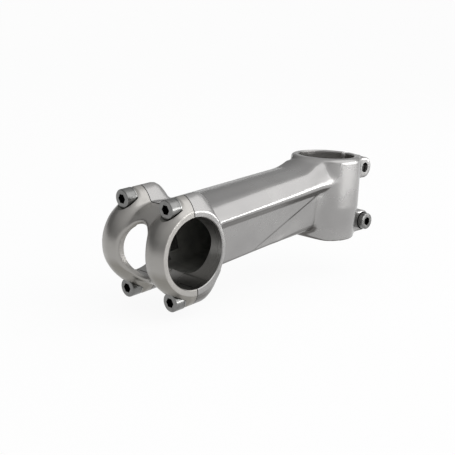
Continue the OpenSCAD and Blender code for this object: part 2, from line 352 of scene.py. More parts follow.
# %% Collar, ears and web
foot_r = collar_r - 1.5
taper_top, foot_edge = -4.0, -20.2
top_round, low_round = 2.0, 0.8
from_steerer = np.hypot(row_x, gy)
wall = from_steerer - np.interp(row_z, (foot_edge, taper_top), (foot_r, collar_r))
collar = np.where(row_z > 0, blend_inside(wall, row_z - collar_half_h, top_round),
                  blend_inside(wall, -row_z - collar_half_h, low_round))

web_back, web_front, web_half_h = 19, -8, 19.3
web_half_w = mix(6.4, 9.6, (row_x + web_back) / 4.8) * 0.95
web = np.maximum.reduce([-row_x - web_back, gy - web_half_w, row_x - web_front,
                         np.abs(row_z) - web_half_h])
ear_reach = np.clip(row_x, -pinch_back, -6)
ear_round = np.hypot(row_x - ear_reach, np.abs(row_z) - pinch_rise) - ear_r


def clamp_end(side):
    """Collar, ears and web on one side. The ear that takes a head is the longer one."""
    ear_end = np.where(row_z * side < 0, ear_head_side, ear_side)
    ear = blend_inside(ear_round, gy - ear_end, 0.8)
    return blend_union(collar, blend_union(ear, web, 3), 1.6)


print("ears reach", ear_side, "mm and", ear_head_side, "mm to the side")

# %% [markdown]
# The fixed half of the handlebar's clamp is a round rim with four bosses, which take the
# faceplate's screws. A boss has a domed section, a superellipse: across y and outwards it
# adds the same power of both shares. A power of 2 gives an ellipse and a lower one a leaner
# dome. Such a field isn't a distance, so it is divided by its own slope.

# %% Rim and bosses
from_bar = np.hypot(gx - stem_length, gh)
rim = blend_inside(from_bar - rim_r, gy - clamp_side, 0.7)

boss_length = 14.2
behind = np.clip(stem_length - gx, -1, boss_length)
boss_drop = np.interp(behind, (-1, 6, 8, 10, 11.5, 13, boss_length),
                      (0, 0, 0.4, 1.6, 3.3, 6, 9))
boss_base = np.sqrt(np.maximum(rim_r ** 2 - behind ** 2, 1)) - 1.1
boss_rise = np.maximum(boss_top - boss_drop - boss_base, 0.6)
dome_power = 1.65
dome_across = np.abs(gy - boss_y) / boss_half_w
dome_up = np.maximum(np.abs(gh) - boss_base, 0) / boss_rise
boss = (dome_across ** dome_power + dome_up ** dome_power) ** (1 / dome_power) - 1
boss = as_distance(boss, forging_step, 0.05)
boss = np.maximum(boss, stem_length - boss_length - gx)
print("bosses stand", round(boss_top - rim_r, 1), "mm out of the rim")

# %% [markdown]
# Now the forms are blended in pairs. A round cutter from below, the chin, hollows the
# fillet between the collar and the keel. Flat planes then end the forging where the real
# one is faced off, and one surface net turns both sides into a single mesh.

# %% All forms together
chin_r, chin_x, chin_top = 26.0, 24.7, -18.2
chin = np.hypot(row_x - chin_x, row_z - chin_top + chin_r) - chin_r
near_collar = gx < 30
bar_end = blend_union(rim, boss, 1.2)
halves = []
for side in (-1, 1):
    tube = blend_union(extension, clamp_end(side), 2.6)
    tube = blend_cut(tube, chin, 1.5)
    forging = blend_union(tube, bar_end, 1.6)
    in_reach = np.maximum.reduce([
        gx - stem_length - 1, gy - clamp_side,
        np.where(near_collar, np.abs(row_z) - collar_half_h, -1)])
    halves.append(np.maximum(forging, in_reach))
whole = np.concatenate([halves[0][:, :0:-1], halves[1]], axis=1)
verts, quads = surface_net(
    whole, (grid_x[0], -grid_y[-1], grid_h[0]), forging_step)
print("forging:", len(verts), "vertices,", len(quads), "quads")
stem = new_piece("stem_forging", verts, quads, to_row)


# %% [markdown]
# ## Machined cuts
#
# Machining is the opposite of forging: exact cylinders and planes with crisp rims. Each cut is
# a lathe turning of a small profile, so the chamfer at a bore's mouth comes with it, and a
# boolean takes it away from the forging. The manifold solver suits closed meshes like these:
# it is quick, and it leaves the forging's other faces alone.

# %% Cutters
def lathe(profile, segments=160):
    """Points and faces of a closed turning about z. The profile starts and ends on it."""
    verts = [(0, 0, profile[0][1]), (0, 0, profile[-1][1])]
    rings = profile[1:-1]
    for r, z in rings:
        for i in range(segments):
            angle = 2 * math.pi * i / segments
            verts.append((r * math.cos(angle), r * math.sin(angle), z))
    faces = []
    for i in range(segments):
        j = (i + 1) % segments
        faces.append((0, 2 + j, 2 + i))
        last = 2 + (len(rings) - 1) * segments
        faces.append((1, last + i, last + j))
        for k in range(len(rings) - 1):
            a = 2 + k * segments
            faces.append((a + i, a + j, a + segments + j, a + segments + i))
    return verts, faces


def cylinder_cut(radius, low, high, matrix, segments=96):
    """A plain round cutter along z of the matrix, from low to high."""
    verts, faces = lathe([(0, low), (radius, low), (radius, high), (0, high)], segments)
    return new_piece("cutter", verts, faces, matrix)


def block_cut(low, high, matrix):
    """A box cutter between two corners."""
    verts = [(x, y, z) for x in (low[0], high[0]) for y in (low[1], high[1])
             for z in (low[2], high[2])]
    faces = [(0, 1, 3, 2), (4, 6, 7, 5), (0, 4, 5, 1), (2, 3, 7, 6), (0, 2, 6, 4), (1, 5, 7, 3)]
    return new_piece("cutter", verts, faces, matrix)


def cut_away(piece, cutters):
    """Takes every cutter away from the piece and deletes the cutters."""
    for cutter in cutters:
        cut = piece.modifiers.new("cut", "BOOLEAN")
        cut.operation = "DIFFERENCE"
        cut.solver = "MANIFOLD"
        cut.object = cutter
        bpy.context.view_layer.update()
        result = bpy.data.meshes.new_from_object(
            piece.evaluated_get(bpy.context.evaluated_depsgraph_get()))
        if len(result.polygons) == len(piece.data.polygons):
            print("a cut changed nothing on", piece.name)
        piece.modifiers.clear()
        old = piece.data
        piece.data = result
        result.name = piece.name
        bpy.data.meshes.remove(old)
        bpy.data.objects.remove(cutter)


# %% [markdown]
# The hollow of the extension is open into the handlebar bore and blind towards the fork. It
# is a loft: rings of the same number of points, joined by quads, with a flat end each.

# %% Hollow of the extension
hollow_start, hollow_nose = 24, 6


def half_hollow(station):
    """Corners of the right half of the hollow, which rounds off at its blind end."""
    t = min(1, max(0, (station - hollow_start) / (stem_length - 42)))
    close = min(1, max(0, (station - hollow_start) / hollow_nose))
    grow = 0.72 + 0.28 * math.sqrt(1 - (1 - close) ** 2)
    top = mix(14.6, 12.6, t) * grow
    side = mix(10.6, 14.2, t) * grow
    low = mix(-11.8, -14.6, t) * grow
    return [(0, top, 6), (side * 0.72, top - 0.8, 4), (side, mix(low, top, 0.62), 5),
            (side * 0.74, low + 0.8, 5), (0, low, 5)]


def loft(rings, matrix):
    """A closed solid over rings of points (x, y, z) of equal length."""
    n = len(rings[0])
    verts = [p for ring in rings for p in ring]
    faces = [tuple(range(n)), tuple(range(len(verts) - 1, len(verts) - n - 1, -1))]
    for k in range(len(rings) - 1):
        for i in range(n):
            j = (i + 1) % n
            faces.append((k * n + j, k * n + i, (k + 1) * n + i, (k + 1) * n + j))
    piece = new_piece("cutter", verts, faces, matrix)
    face_outwards(piece)
    return piece


def face_outwards(piece):
    """Turns all faces of a closed mesh outwards."""
    bm = bmesh.new()
    bm.from_mesh(piece.data)
    bmesh.ops.recalc_face_normals(bm, faces=bm.faces)
    bm.to_mesh(piece.data)
    bm.free()


hollow_stations = [hollow_start + hollow_nose * (1 - math.cos(a))
                   for a in np.linspace(0, math.pi / 2, 9)]
hollow_stations += list(np.linspace(34, stem_length - 6, 12))
hollow = loft([[(s, y, h) for y, h in rounded_outline(half_hollow(s), 10)]
               for s in hollow_stations], to_row)
print("hollow:", len(hollow_stations), "rings,", len(hollow.data.vertices), "vertices")

# %% [markdown]
# The fork's bore stands upright and the handlebar's bore lies across, with a shallow relief
# round its middle. Boxes cut the slit at the back and the gap to the faceplate. The tapped
# holes are plain ones, because the screws hide their threads, and each pinch screw's head
# gets a pocket.

# %% Cuts of the stem
across = Matrix.Rotation(math.radians(90), 4, "X")
chamfer, bar_chamfer = 0.5, 0.35
steerer_bore = new_piece("cutter", *lathe([
    (0, -30), (steerer_r + chamfer, -30), (steerer_r + chamfer, -collar_half_h),
    (steerer_r, -collar_half_h + chamfer), (steerer_r, collar_half_h - chamfer),
    (steerer_r + chamfer, collar_half_h), (steerer_r + chamfer, 30), (0, 30)]))
relief, relief_half_w = 0.4, 4.0
bar_bore_profile = [
    (0, -30), (bar_r + bar_chamfer, -30), (bar_r + bar_chamfer, -clamp_side),
    (bar_r, -clamp_side + bar_chamfer), (bar_r, -relief_half_w),
    (bar_r + relief, -relief_half_w), (bar_r + relief, relief_half_w),
    (bar_r, relief_half_w), (bar_r, clamp_side - bar_chamfer),
    (bar_r + bar_chamfer, clamp_side), (bar_r + bar_chamfer, 30), (0, 30)]
bar_bore = new_piece("cutter", *lathe(bar_bore_profile, 192), at_bar @ across)
split_gap, slit_half_w = 0.5, 1.3
cuts = [steerer_bore, hollow, bar_bore,
        block_cut((-40, -slit_half_w, -40), (0, slit_half_w, 40), Matrix.Identity(4)),
        block_cut((-split_gap / 2, -40, -40), (40, 40, 40), at_bar)]


def face_screw_place(side, level, out=0):
    """A faceplate screw's axis along z, so far in front of the handlebar's axis."""
    return (at_bar @ Matrix.Translation((out, side * screw_y, level * screw_h))
            @ Matrix.Rotation(math.radians(90), 4, "Y"))


def pinch_screw_place(level, out=0):
    """A pinch screw's axis along z, so far out on the side of its head."""
    return (Matrix.Translation((-pinch_back, -level * out, level * pinch_rise))
            @ Matrix.Rotation(math.radians(90 * level), 4, "X"))


for side in (-1, 1):
    for level in (-1, 1):
        spot = face_screw_place(side, level)
        cuts.append(cylinder_cut(shank_r + thread_clear, -11, 2, spot, 48))
for level in (-1, 1):
    spot = pinch_screw_place(level)
    cuts.append(cylinder_cut(pocket_r, pinch_seat - washer_t, 14, spot, 64))
    cuts.append(cylinder_cut(shank_r + hole_clear, 0, 12, spot, 48))
    cuts.append(cylinder_cut(shank_r + thread_clear, -12, 0.5, spot, 48))
cut_away(stem, cuts)
print("stem after machining:", len(stem.data.polygons), "faces")

# %% [markdown]
# ## The faceplate
#
# The faceplate is the part of the clamp that comes off. Two bands run over the front of the
# handlebar, each with a domed cross-section, and a short bridge joins them above and below
# the window. The field here is written in the handlebar's own polar coordinates: an angle
# round the bar, a distance from its axis, and y along it.

# %% Grid of the faceplate
plate_step = 0.33
plate_x = np.arange(-1.2, ridge_r + 1.5, plate_step)
plate_y = np.arange(0, clamp_side + 1.2, plate_step)
plate_h = np.arange(-boss_top - 1.2, boss_top + 1.5, plate_step)
px, py, ph = np.meshgrid(plate_x, plate_y, plate_h, indexing="ij")
radius = np.hypot(px, ph)
angle = np.degrees(np.arctan2(ph, np.maximum(px, 1e-6)))
print("faceplate grid:", px.shape)

# %% [markdown]
# The ridge says how far a band stands out at each angle. In front it is round, and then it
# runs straight to the tops of the bosses. The window is an oval in angle and y. It widens
# outwards, as a forged opening does so that the die comes free, and its edge is rounded.

# %% Bands, bridge and window
def ridge(angles):
    """Radius of a band's ridge: round in front, then straight to the bosses' tops."""
    a = np.radians(np.abs(angles))
    straight = ridge_r * math.sqrt(2) / (np.cos(a) + np.sin(a))
    return np.where(a <= math.pi / 4, ridge_r,
                    np.minimum(straight, boss_top / np.maximum(np.sin(a), 0.1)))


base_r = rim_r - 0.6
band_across = np.abs(py - boss_y) / boss_half_w
band_up = np.maximum(radius - base_r, 0) / (ridge(angle) - base_r)
band = (band_across ** dome_power + band_up ** dome_power) ** (1 / dome_power) - 1
band = as_distance(band, plate_step, 0.05)
ring = blend_inside(radius - rim_r, py - clamp_side, 0.5)
plate = blend_union(ring, band, 1.2)

window_half_w, window_half_angle = 8.6, 47.0
lean = radius - bar_r
window = np.sqrt((py / (window_half_w + 0.2 * lean)) ** 2
                 + (angle / (window_half_angle + 0.9 * lean)) ** 2) - 1
window = as_distance(window, plate_step, 0.02)
plate = blend_cut(plate, window, 1.0)
plate_back = -0.6
plate = np.maximum.reduce([plate, plate_back - px, py - clamp_side])
plate_whole = np.concatenate([plate[:, :0:-1], plate], axis=1)
verts, quads = surface_net(
    plate_whole, (plate_x[0], -plate_y[-1], plate_h[0]), plate_step)
print("faceplate:", len(verts), "vertices,", len(quads), "quads")
faceplate = new_piece("faceplate_forging", verts, quads, at_bar)

# %% [markdown]
# The faceplate gets the same bore as the stem and a flat back face. Each screw has a stepped
# hole: a wide pocket for its head and its washer, and a narrow one for its shank.

# %% Cuts of the faceplate
cuts = [new_piece("cutter", *lathe(bar_bore_profile, 192), at_bar @ across),
        block_cut((-40, -40, -40), (split_gap / 2, 40, 40), at_bar)]
for side in (-1, 1):
    for level in (-1, 1):
        spot = face_screw_place(side, level)
        cuts.append(cylinder_cut(pocket_r, face_seat - washer_t, 22, spot, 96))
        cuts.append(cylinder_cut(shank_r + hole_clear, -2, 12, spot, 48))
cut_away(faceplate, cuts)
print("faceplate after machining:", len(faceplate.data.polygons), "faces")

# %% [markdown]
# ## Socket screws
#
# Six M5 screws clamp the stem. A thread repeats one shape along a path, so Geometry Nodes
# make it: a spiral curve is the path and a small diamond is swept along it.
# The head and its hexagon socket are a turning with a hexagon sunk into it.

# %% Thread tree
head_r, head_h = 4.25, 5.0
pitch, thread_depth = 0.8, 0.4


def thread_tree(steel):
    """Geometry Nodes that wind a thread round a shank hanging below z = 0."""
    tree = bpy.data.node_groups.new("screw_thread", "GeometryNodeTree")
    face = tree.interface
    face.new_socket("Geometry", in_out="INPUT", socket_type="NodeSocketGeometry")
    face.new_socket("Geometry", in_out="OUTPUT", socket_type="NodeSocketGeometry")
    sizes = {}
    for label, value in (("Shank Length", 0.015), ("Shank Radius", 0.0025),
                         ("Pitch", 0.0008), ("Thread Depth", 0.0004)):
        socket = face.new_socket(label, in_out="INPUT", socket_type="NodeSocketFloat")
        socket.default_value = value
        sizes[label] = socket.identifier
    nodes, links = tree.nodes, tree.links
    group_in, group_out = nodes.new("NodeGroupInput"), nodes.new("NodeGroupOutput")

    def maths(kind, a, b):
        node = nodes.new("ShaderNodeMath")
        node.operation = kind
        for slot, value in zip(node.inputs, (a, b)):
            if isinstance(value, (int, float)):
                slot.default_value = value
            else:
                links.new(value, slot)
        return node.outputs[0]

    length, radius, rise, depth = (group_in.outputs[n] for n in sizes)
    plain_ends, plain_tip = 0.0016, 0.0006
    run = maths("SUBTRACT", length, plain_ends)
    turns = maths("DIVIDE", run, rise)
    core = maths("SUBTRACT", radius, depth)
    spiral = nodes.new("GeometryNodeCurveSpiral")
    spiral.inputs["Resolution"].default_value = 28
    links.new(turns, spiral.inputs["Rotations"])
    links.new(core, spiral.inputs["Start Radius"])
    links.new(core, spiral.inputs["End Radius"])
    links.new(run, spiral.inputs["Height"])
    place = nodes.new("GeometryNodeTransform")
    lift = nodes.new("ShaderNodeCombineXYZ")
    links.new(maths("SUBTRACT", plain_tip, length), lift.inputs["Z"])
    links.new(spiral.outputs["Curve"], place.inputs["Geometry"])
    links.new(lift.outputs[0], place.inputs["Translation"])
    profile = nodes.new("GeometryNodeCurvePrimitiveCircle")
    profile.inputs["Resolution"].default_value = 4
    links.new(maths("MULTIPLY", depth, 0.95), profile.inputs["Radius"])
    sweep = nodes.new("GeometryNodeCurveToMesh")
    sweep.inputs["Fill Caps"].default_value = True
    links.new(place.outputs["Geometry"], sweep.inputs["Curve"])
    links.new(profile.outputs["Curve"], sweep.inputs["Profile Curve"])
    join = nodes.new("GeometryNodeJoinGeometry")
    links.new(group_in.outputs["Geometry"], join.inputs[0])
    links.new(sweep.outputs["Mesh"], join.inputs[0])
    realize = nodes.new("GeometryNodeRealizeInstances")
    finish = nodes.new("GeometryNodeSetMaterial")
    finish.inputs["Material"].default_value = steel
    links.new(join.outputs[0], realize.inputs[0])
    links.new(realize.outputs[0], finish.inputs["Geometry"])
    links.new(finish.outputs[0], group_out.inputs[0])
    return tree, sizes


# %% [markdown]
# ## Finishes
#
# The forging is bead-blasted, buffed and clear anodised: a satin, slightly warm grey whose
# highlights are soft, with a fine grain that only shows close to. Its undersides get a painted
# shade. The screws are grey steel with painted shade inside their sockets. Each finish could be
# an image wrapped over the mesh, but noise in object coordinates needs no unwrapping and stays
# sharp at any distance. The helpers below each add one or two nodes, so that a finish reads like
# a short recipe.

# %% Material helpers
def new_material(name, **values):
    """A material with one Principled shader whose own sockets hold the constants."""
    material = bpy.data.materials.new(name)
    material.use_nodes = True
    shader = material.node_tree.nodes["Principled BSDF"]
    for socket, value in values.items():
        shader.inputs[socket.replace("_", " ")].default_value = value
    return material, shader


def link_noise(material, scale, detail, roughness=0.5, stretch=(1, 1, 1)):
    """A noise in object coordinates, in cycles a metre."""
    nodes, links = material.node_tree.nodes, material.node_tree.links
    coordinates = nodes.new("ShaderNodeTexCoord")
    mapping = nodes.new("ShaderNodeMapping")
    mapping.inputs["Scale"].default_value = stretch
    noise = nodes.new("ShaderNodeTexNoise")
    noise.inputs["Scale"].default_value = scale
    noise.inputs["Detail"].default_value = detail
    noise.inputs["Roughness"].default_value = roughness
    links.new(coordinates.outputs["Object"], mapping.inputs["Vector"])
    links.new(mapping.outputs["Vector"], noise.inputs["Vector"])
    return noise.outputs["Fac"]


def map_range(material, value, low, high, from_low=0.3, from_high=0.7):
    """Turns a value between two limits into one from low to high."""
    nodes, links = material.node_tree.nodes, material.node_tree.links
    node = nodes.new("ShaderNodeMapRange")
    node.inputs["From Min"].default_value = from_low
    node.inputs["From Max"].default_value = from_high
    node.inputs["To Min"].default_value = low
    node.inputs["To Max"].default_value = high
    links.new(value, node.inputs["Value"])
    return node.outputs["Result"]


def colour_between(material, value, low, high):
    """A colour between two, picked by the value."""
    nodes, links = material.node_tree.nodes, material.node_tree.links
    node = nodes.new("ShaderNodeMix")
    node.data_type = "RGBA"
    node.inputs["A"].default_value = (*low, 1)
    node.inputs["B"].default_value = (*high, 1)
    links.new(value, node.inputs["Factor"])
    return node.outputs["Result"]


def add_bump(material, shader, height, distance, strength):
    """Lets a height pattern tilt the light on the skin, over so many metres."""
    nodes, links = material.node_tree.nodes, material.node_tree.links
    node = nodes.new("ShaderNodeBump")
    node.inputs["Strength"].default_value = strength
    node.inputs["Distance"].default_value = distance
    links.new(height, node.inputs["Height"])
    links.new(node.outputs["Normal"], shader.inputs["Normal"])


def facing_down(material, begin, full):
    """0 on faces that look up or sideways, and 1 on faces that look down steeply."""
    nodes, links = material.node_tree.nodes, material.node_tree.links
    geometry = nodes.new("ShaderNodeNewGeometry")
    rise = nodes.new("ShaderNodeSeparateXYZ")
    links.new(geometry.outputs["Normal"], rise.inputs["Vector"])
    return map_range(material, rise.outputs["Z"], 1, 0, full, begin)


# %% [markdown]
# Slow clouds of noise vary the colour and the roughness of the blasted skin, and fast noise
# makes its grain. A face that looks down far enough takes a darker colour, which is painted
# shade on the undersides.

# %% Blasted aluminium
painted_shade_begins, painted_shade_full = -0.27, -0.45


def blasted_aluminium(name, dark, light, painted_underside_shade, rough_low, rough_high):
    """A satin skin between two greys, with a painted shade on the undersides."""
    material, shader = new_material(name, Metallic=0.9)
    links = material.node_tree.links
    clouds = link_noise(material, 60, 4)
    grain = link_noise(material, 2600, 2, 0.6)
    buffed = colour_between(material, map_range(material, clouds, 0, 1), dark, light)
    # painted shade: faces that look down take the darker underside grey
    skin = colour_between(material, facing_down(material, painted_shade_begins, painted_shade_full),
                          dark, painted_underside_shade)
    links.new(buffed, skin.node.inputs["A"])
    links.new(skin, shader.inputs["Base Color"])
    links.new(map_range(material, clouds, rough_low, rough_high), shader.inputs["Roughness"])
    add_bump(material, shader, grain, 0.00003, 0.6)
    return material


# The third grey of each skin is painted shade for the undersides.
body_finish = blasted_aluminium("blasted_body", (0.29, 0.285, 0.282), (0.33, 0.325, 0.32),
                                (0.11, 0.105, 0.10), 0.22, 0.30)
plate_finish = blasted_aluminium("blasted_faceplate", (0.31, 0.30, 0.285),
                                 (0.35, 0.34, 0.325), (0.23, 0.22, 0.20), 0.30, 0.38)
print("blasted skins:", body_finish.name, "and", plate_finish.name)

# %% [markdown]
# The bores are turned on a lathe, so they keep rings of tool marks. Noise that is squeezed
# along the bore's axis and drawn out across it gives such rings. The hollow takes a darker,
# rougher grey, and the pockets round the faceplate's screws take the same grey as painted shade.

# %% Turned aluminium
def turned_aluminium(name, colour, stretch):
    """Fine rings that run round the axis along which the pattern is squeezed."""
    material, shader = new_material(name, Metallic=1.0, Base_Color=(*colour, 1))
    links = material.node_tree.links
    rings = link_noise(material, 1, 3, 0.6, stretch)
    links.new(map_range(material, rings, 0.24, 0.42), shader.inputs["Roughness"])
    add_bump(material, shader, rings, 0.00004, 0.5)
    return material


bar_bore_finish = turned_aluminium("turned_bar_bore", (0.30, 0.295, 0.285), (20, 2500, 20))
steerer_bore_finish = turned_aluminium("turned_steerer_bore", (0.36, 0.35, 0.34), (20, 20, 2500))
# The same dark grey is painted shade in the faceplate's pockets.
hollow_and_pocket_shade, hollow_shader = new_material("dark_hollow_and_pocket_shade", Metallic=0.7, Roughness=0.6)
hollow_noise = link_noise(hollow_and_pocket_shade, 220, 5)
hollow_and_pocket_shade.node_tree.links.new(
    colour_between(hollow_and_pocket_shade, map_range(hollow_and_pocket_shade, hollow_noise, 0, 1),
                   (0.16, 0.16, 0.15), (0.24, 0.24, 0.22)), hollow_shader.inputs["Base Color"])
add_bump(hollow_and_pocket_shade, hollow_shader, hollow_noise, 0.0003, 0.5)
print("inside finishes:", bar_bore_finish.name, steerer_bore_finish.name, hollow_and_pocket_shade.name)

# %% [markdown]
# The screws and washers are plain steel, a little worn. One function makes all three
# greys: the screws, the painted shade inside their sockets and the lighter washers.

# %% Screw steel
def screw_steel(name, dark, light):
    """Bare metal whose colour and shine vary in small clouds."""
    material, shader = new_material(name, Metallic=1.0)
    links = material.node_tree.links
    clouds = link_noise(material, 420, 4)
    links.new(colour_between(material, map_range(material, clouds, 0, 1), dark, light),
              shader.inputs["Base Color"])
    links.new(map_range(material, clouds, 0.22, 0.36), shader.inputs["Roughness"])
    add_bump(material, shader, clouds, 0.00002, 0.5)
    return material


steel = screw_steel("screw_steel", (0.15, 0.15, 0.147), (0.22, 0.22, 0.215))
# painted shade: a near-black grey for the insides of the sockets
socket_painted_shade = screw_steel("socket_painted_shade", (0.03, 0.03, 0.03), (0.055, 0.055, 0.052))
washer_steel = screw_steel("washer_steel", (0.22, 0.22, 0.22), (0.30, 0.30, 0.29))
print("materials so far:", len(bpy.data.materials))


# %% [markdown]
# After the booleans, one mesh holds forged skin and machined walls. A wall is found by where
# it lies: the faces at a bore's radius are turned, those inside the hollow take its darker
# grey, and those in one of the faceplate's pockets take that grey as painted shade. Faces
# picked by hand would have to be picked again after each change of shape.

# %% Finishes and painted shade by place
wall_slack = 0.06
hollow_side, hollow_top = 14.5, 15.2
turned_low, turned_high = bar_r - wall_slack, bar_r + relief + wall_slack


def shade(piece, angle=28):
    """Smooth shading that breaks at edges sharper than the angle."""
    piece.data.polygons.foreach_set("use_smooth", [True] * len(piece.data.polygons))
    piece.data.set_sharp_from_angle(angle=math.radians(angle))


def face_table(piece):
    """Centres, in millimetres, and normals of all faces, in the mesh's own frame."""
    count = len(piece.data.polygons)
    centres, normals = np.zeros(count * 3), np.zeros(count * 3)
    piece.data.polygons.foreach_get("center", centres)
    piece.data.polygons.foreach_get("normal", normals)
    return centres.reshape(-1, 3) / MM, normals.reshape(-1, 3)


def finish_and_shade_by_place(piece, skin, turned_inside):
    """Gives the bores and the hollow their own finishes, and the faceplate's pockets a painted
    shade.
    """
    piece.data.materials.clear()
    for material in (skin, bar_bore_finish, steerer_bore_finish, hollow_and_pocket_shade):
        piece.data.materials.append(material)
    centres, normals = face_table(piece)
    stem_x = centres[:, 0] * row_cos + centres[:, 2] * row_sin
    stem_h = -centres[:, 0] * row_sin + centres[:, 2] * row_cos
    bar_distance = np.hypot(stem_x - stem_length, stem_h)
    steerer_distance = np.hypot(centres[:, 0], centres[:, 1])
    index = np.zeros(len(centres), int)
    normal_x = normals[:, 0] * row_cos + normals[:, 2] * row_sin
    normal_h = -normals[:, 0] * row_sin + normals[:, 2] * row_cos
    facing = ((stem_x - stem_length) * normal_x + stem_h * normal_h) / bar_distance
    index[(bar_distance > turned_low) & (bar_distance < turned_high) & (facing < -0.9)] = 1
    if turned_inside:
        index[np.abs(steerer_distance - steerer_r) < wall_slack] = 2
        hollow_faces = ((stem_x > hollow_start - 0.5) & (bar_distance > turned_high)
                        & (np.abs(centres[:, 1]) < hollow_side)
                        & (np.abs(stem_h) < hollow_top)
                        & (normals[:, 1] * centres[:, 1] + normals[:, 2] * (stem_h + 0.5) < 0)
                        & (stem_x < stem_length - 1))
        index[hollow_faces] = 3
    else:
        # painted shade: the faces in the pockets round the faceplate's screws take the dark
        # hollow grey
        screw_distance = np.hypot(np.abs(centres[:, 1]) - screw_y, np.abs(stem_h) - screw_h)
        in_front = stem_x - stem_length > face_seat - washer_t - 0.1
        index[in_front & (screw_distance < pocket_r + 0.03)] = 3
    piece.data.polygons.foreach_set("material_index", index)
    piece.data.update()
    print(piece.name, "faces by finish:", np.bincount(index, minlength=4).tolist())


finish_and_shade_by_place(stem, body_finish, True)
finish_and_shade_by_place(faceplate, plate_finish, False)
shade(stem)
shade(faceplate)


# %% [markdown]
# A screw is a turned head with a hexagon sunk into it, a plain core for the shank, and the
# thread tree as a modifier round that core. The modifier is applied at once, so that the
# screw is one mesh, and the finished mesh is moved to its place on the stem.

# %% Screw builder
key_r = 2.31


def screw_head(name):
    """A socket head standing on z = 0, with its hexagon sunk into the top."""
    edge = 0.45
    arc = [(head_r - edge + edge * math.sin(a), head_h - edge + edge * math.cos(a))
           for a in np.linspace(math.pi / 2, 0, 6)]
    verts, faces = lathe([(0, 0)] + [(head_r - 0.2, 0), (head_r, 0.2)] + arc + [(0, head_h)], 96)
    head = new_piece(name, verts, faces)
    hexagon = [(key_r * math.cos(math.radians(60 * i + 30)),
                key_r * math.sin(math.radians(60 * i + 30))) for i in range(6)]
    rings = [[(x * grow, y * grow, z) for x, y in hexagon]
             for grow, z in ((0.02, head_h - 3.5), (0.99, head_h - 2.9), (1, head_h - 2.85),
                             (1, head_h + 1))]
    socket = loft(rings, Matrix.Identity(4))
    cut_away(head, [socket])
    return head


def screw(name, body, node, place, shank_length):
    """A whole screw: head, shank core and wound thread, riding on its body."""
    head = screw_head(name)
    core = shank_r - 0.38
    tip = 0.6
    verts, faces = lathe([(0, -shank_length), (core - tip * 0.6, -shank_length),
                          (core, tip - shank_length), (core, 0.1), (0, 0.1)], 48)
    shank = new_piece(name + "_shank", verts, faces)
    bm = bmesh.new()
    bm.from_mesh(head.data)
    bm.from_mesh(shank.data)
    bm.to_mesh(head.data)
    bm.free()
    bpy.data.objects.remove(shank)
    wind = head.modifiers.new("thread", "NODES")
    wind.node_group = thread_group
    wind[thread_sizes["Shank Length"]] = shank_length * MM
    wind[thread_sizes["Shank Radius"]] = (shank_r - 0.03) * MM
    wind[thread_sizes["Pitch"]] = pitch * MM
    wind[thread_sizes["Thread Depth"]] = thread_depth * MM
    bpy.context.view_layer.update()
    result = bpy.data.meshes.new_from_object(
        head.evaluated_get(bpy.context.evaluated_depsgraph_get()))
    head.modifiers.clear()
    head.data = result
    centres = face_table(head)[0]
    # painted shade: the faces inside the hexagon socket take the near-black socket grey
    inside = ((np.hypot(centres[:, 0], centres[:, 1]) < key_r + 0.04) & (centres[:, 2] > 1)
              & (centres[:, 2] < head_h - 0.02))
    head.data.materials.clear()
    head.data.materials.append(steel)
    head.data.materials.append(socket_painted_shade)
    head.data.polygons.foreach_set("material_index", inside.astype(int))
    scale = Matrix.Scale(MM, 4)
    head.data.transform(scale @ place @ scale.inverted())
    shade(head, 30)
    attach(head, body)
    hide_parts(node)


# %% [markdown]
# Four screws hold the faceplate and two pinch the collar. Loops over the levels and the
# sides place them, and each one rides on the body of the CAD bolt that it replaces.

# %% Six screws
thread_group, thread_sizes = thread_tree(steel)
face_screw_length, pinch_screw_length = 15.0, 17.0
for level, level_word in ((1, "upper"), (-1, "lower")):
    for side, side_word in ((1, "left"), (-1, "right")):
        tag = f"{level_word}_{side_word}"
        screw(f"socket_screw_face_{tag}", f"bolt_face_{tag}", f"faceplate_bolt_{tag}",
              face_screw_place(side, level, face_seat), face_screw_length)
for level, word in ((1, "upper"), (-1, "lower")):
    screw(f"socket_screw_pinch_{word}", f"bolt_pinch_{word}", f"steerer_bolt_{word}",
          pinch_screw_place(level, pinch_seat), pinch_screw_length)

# %% [markdown]
# A washer is a flat ring in life too, so the CAD model's own washers stay and only change
# their finish.

# %% Washers keep their CAD shape
washers = [node for name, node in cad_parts.items() if "washer" in name]
for washer in washers:
    for slot in washer.material_slots:
        slot.material = washer_steel
print("washers:", len(washers))

# %% [markdown]
# The two forgings take the place of their CAD nodes: each rides on the same body, so it
# moves with its joint, and hides the plainer shape that it replaces.

# %% Dressed forgings
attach(stem, "body")
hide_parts("stem_body")
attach(faceplate, "faceplate")
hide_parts("faceplate")
print("dressed:", stem.name, "and", faceplate.name)

# %% [markdown]
# ## Floor and light
#
# A satin metal part shows what stands round it more than it shows its own colour, so the
# room matters as much as the finish. The stem stands over a pale round floor whose rim
# curves up behind it, as paper does in a small studio, so no horizon shows. The floor glows
# white to the camera and to mirrors, mixed with a little paint that keeps the shadow. To
# all other light it is paint alone.

# %% Floor and backdrop
low, high = (Vector(corner) for corner in cad_box)
floor_z = low.z - 0.004
middle = (low + high) / 2


